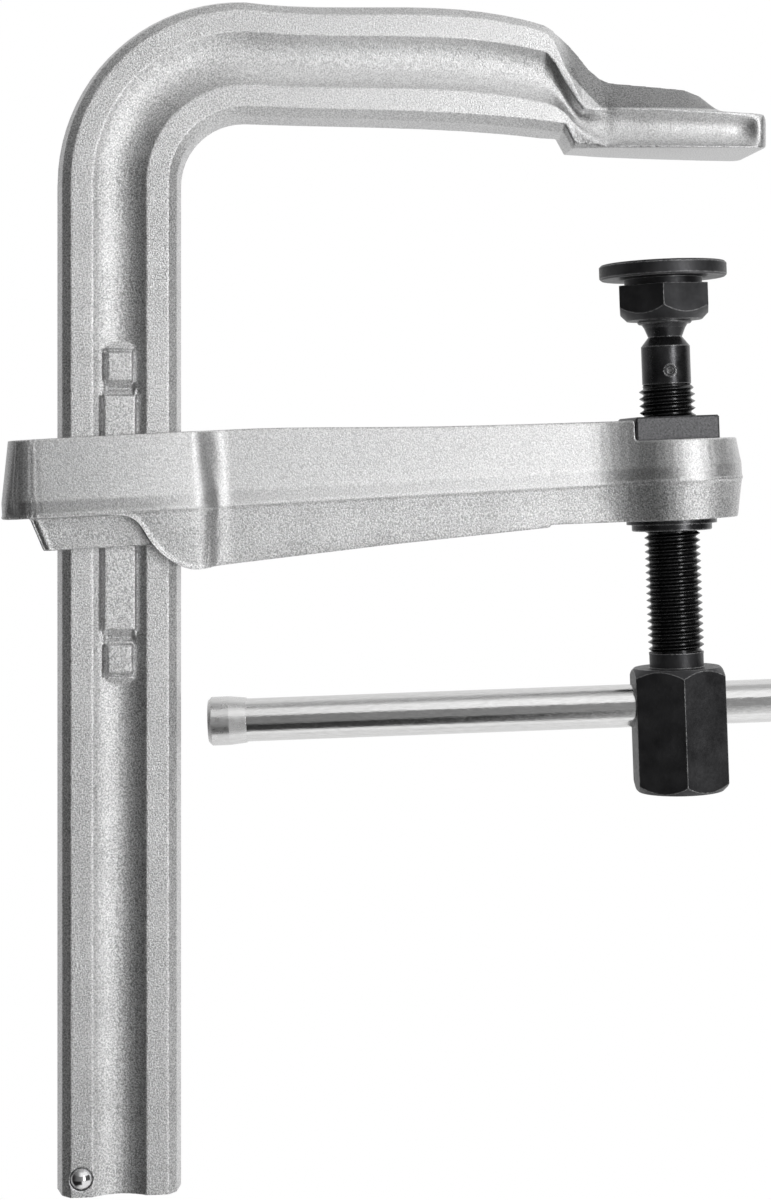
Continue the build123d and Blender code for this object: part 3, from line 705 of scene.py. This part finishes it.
def make_world():
    """White to the camera. The metal reflects a soft studio: a wide box to the right and one above."""
    world = bpy.data.worlds.new("studio")
    bpy.context.scene.world = world
    world.use_nodes = True
    nodes, links = world.node_tree.nodes, world.node_tree.links
    direction = nodes.new("ShaderNodeTexCoord")
    split = nodes.new("ShaderNodeSeparateXYZ")
    links.new(direction.outputs["Generated"], split.inputs[0])

    def curve(axis, stops):
        span = nodes.new("ShaderNodeMapRange")
        span.inputs["From Min"].default_value = -1
        links.new(split.outputs[axis], span.inputs["Value"])
        ramp = nodes.new("ShaderNodeValToRGB")
        while len(ramp.color_ramp.elements) < len(stops):
            ramp.color_ramp.elements.new(0.5)
        for element, (place, level) in zip(ramp.color_ramp.elements, stops):
            element.position = (place + 1) / 2
            element.color = (level, level, level, 1)
        links.new(span.outputs["Result"], ramp.inputs["Fac"])
        return ramp.outputs["Color"]

    def blend(kind, first, second, factor=None):
        node = nodes.new("ShaderNodeMix")
        node.data_type = "RGBA"
        node.blend_type = kind
        node.inputs[0].default_value = 1
        if factor:
            links.new(factor, node.inputs[0])
        links.new(first, node.inputs[6])
        links.new(second, node.inputs[7])
        return node.outputs[2]

    level = blend("MIX", curve("X", STUDIO_LEVEL), curve("X", STUDIO_LOW), curve("Z", LOW_SHARE))
    upward = blend("MULTIPLY", curve("Z", STUDIO_UPWARD), curve("X", STUDIO_UPWARD_SIDES))
    front = blend("LIGHTEN", level, upward)
    whole = blend("MIX", front, curve("X", STUDIO_BEHIND), curve("Y", BEHIND_SHARE))
    studio = nodes["Background"]
    links.new(whole, studio.inputs["Color"])
    studio.inputs["Strength"].default_value = STUDIO_STRENGTH
    white = nodes.new("ShaderNodeBackground")
    white.inputs["Color"].default_value = (1, 1, 1, 1)
    path = nodes.new("ShaderNodeLightPath")
    by_ray = nodes.new("ShaderNodeMixShader")
    links.new(path.outputs["Is Camera Ray"], by_ray.inputs[0])
    links.new(studio.outputs[0], by_ray.inputs[1])
    links.new(white.outputs[0], by_ray.inputs[2])
    links.new(by_ray.outputs[0], nodes["World Output"].inputs["Surface"])


def make_lamp():
    data = bpy.data.lights.new("key", "AREA")
    data.shape = "RECTANGLE"
    data.size = LAMP_WIDTH
    data.size_y = LAMP_HEIGHT
    data.energy = LAMP_POWER
    lamp = add_object("key", data)
    lamp.location = LAMP_PLACE
    lamp.rotation_euler = (Vector(LAMP_TARGET) - Vector(LAMP_PLACE)).to_track_quat("-Z", "Y").to_euler()


def make_stage():
    bpy.context.scene.view_settings.view_transform = "Standard"
    make_camera()
    make_floor()
    make_world()
    make_lamp()


# The pieces
def dress(piece, material, node, body):
    """Gives a piece its material, and puts it in the place of a CAD node, on its body."""
    piece.data.materials.clear()
    piece.data.materials.append(material)
    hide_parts(node)
    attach(piece, body)


def paint_nodes(material, *nodes):
    """Gives CAD nodes that stay visible their procedural material."""
    for node in nodes:
        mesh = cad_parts[node].data
        if not mesh.materials:
            mesh.materials.append(material)
        for index in range(len(mesh.materials)):
            mesh.materials[index] = material


def make_rail():
    """The bar with the fixed jaw, one forging."""
    # The rail's steel also paints shade on the fixed jaw's roof.
    steel = forged_zinc("forged_zinc_rail", 0.34, 0.92, (1, 0, 0), RAIL_FINE_FROM, RAIL_FINE_TO, True)
    rail = forged("rail", "rail_forging", RAIL_ROUNDS)
    press_panel(rail)
    fill_dish(rail)
    soften(rail, DISH_ROUNDS, in_dish)
    dress(rail, steel, "rail", "frame")


def make_arm():
    """The sliding arm, with the beads on its edges and the wear of its dies."""
    upright = (-math.sin(ARM_LEAN), 0, math.cos(ARM_LEAN))
    steel = forged_zinc("forged_zinc_arm", 0.35, 0.89, upright, ARM_FINE_FROM, ARM_FINE_TO)
    beads = [(on_parting_line, *PARTING_BEAD), (on_gusset_edge, *GUSSET_BEAD)]
    arm = forged("sliding_arm", "arm_forging", ARM_ROUNDS, beads)
    wear_arm(arm)
    soften(arm, WORN_ARM_ROUNDS)
    dress(arm, steel, "sliding_arm", "arm")


def make_screw(black):
    """The screw: its hexagonal head, and above that the thread."""
    head = copy_of_node("spindle", "spindle_head")
    cut_below(head, THREAD_BOTTOM)
    shade_smooth(head.data)
    head.data.set_sharp_from_angle(angle=HEAD_SHARP_ANGLE)
    dress(head, black, "spindle", "screw")
    oiled = black_oxide("black_thread", dark=0.010, light=0.025, rough=0.2, grain_height=0.01, wear=0.22)
    thread = add_object("spindle_thread", thread_mesh("spindle_thread"))
    thread.data.materials.append(oiled)
    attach(thread, "screw")


def make_pieces():
    black = black_oxide()
    turned = black_oxide("black_turned", dark=0.03, light=0.075, rough=0.27)
    make_rail()
    make_arm()
    paint_nodes(polished_ball(), "stop_ball")
    paint_nodes(dark_plate(), "spindle_nut")
    paint_nodes(sintered(), "thrust_cup")
    paint_nodes(turned, "nut_washer", "nut_ring", "ball_stud", "ball_stud_pin")
    paint_nodes(black, "pad_hex_nut", "pad_disc")
    paint_nodes(bright_bar(), "tommy_bar")
    paint_nodes(bright_bar("turned_cap", rough=0.24), "tommy_cap_left", "tommy_cap_right")
    make_screw(black)


make_stage()
make_pieces()
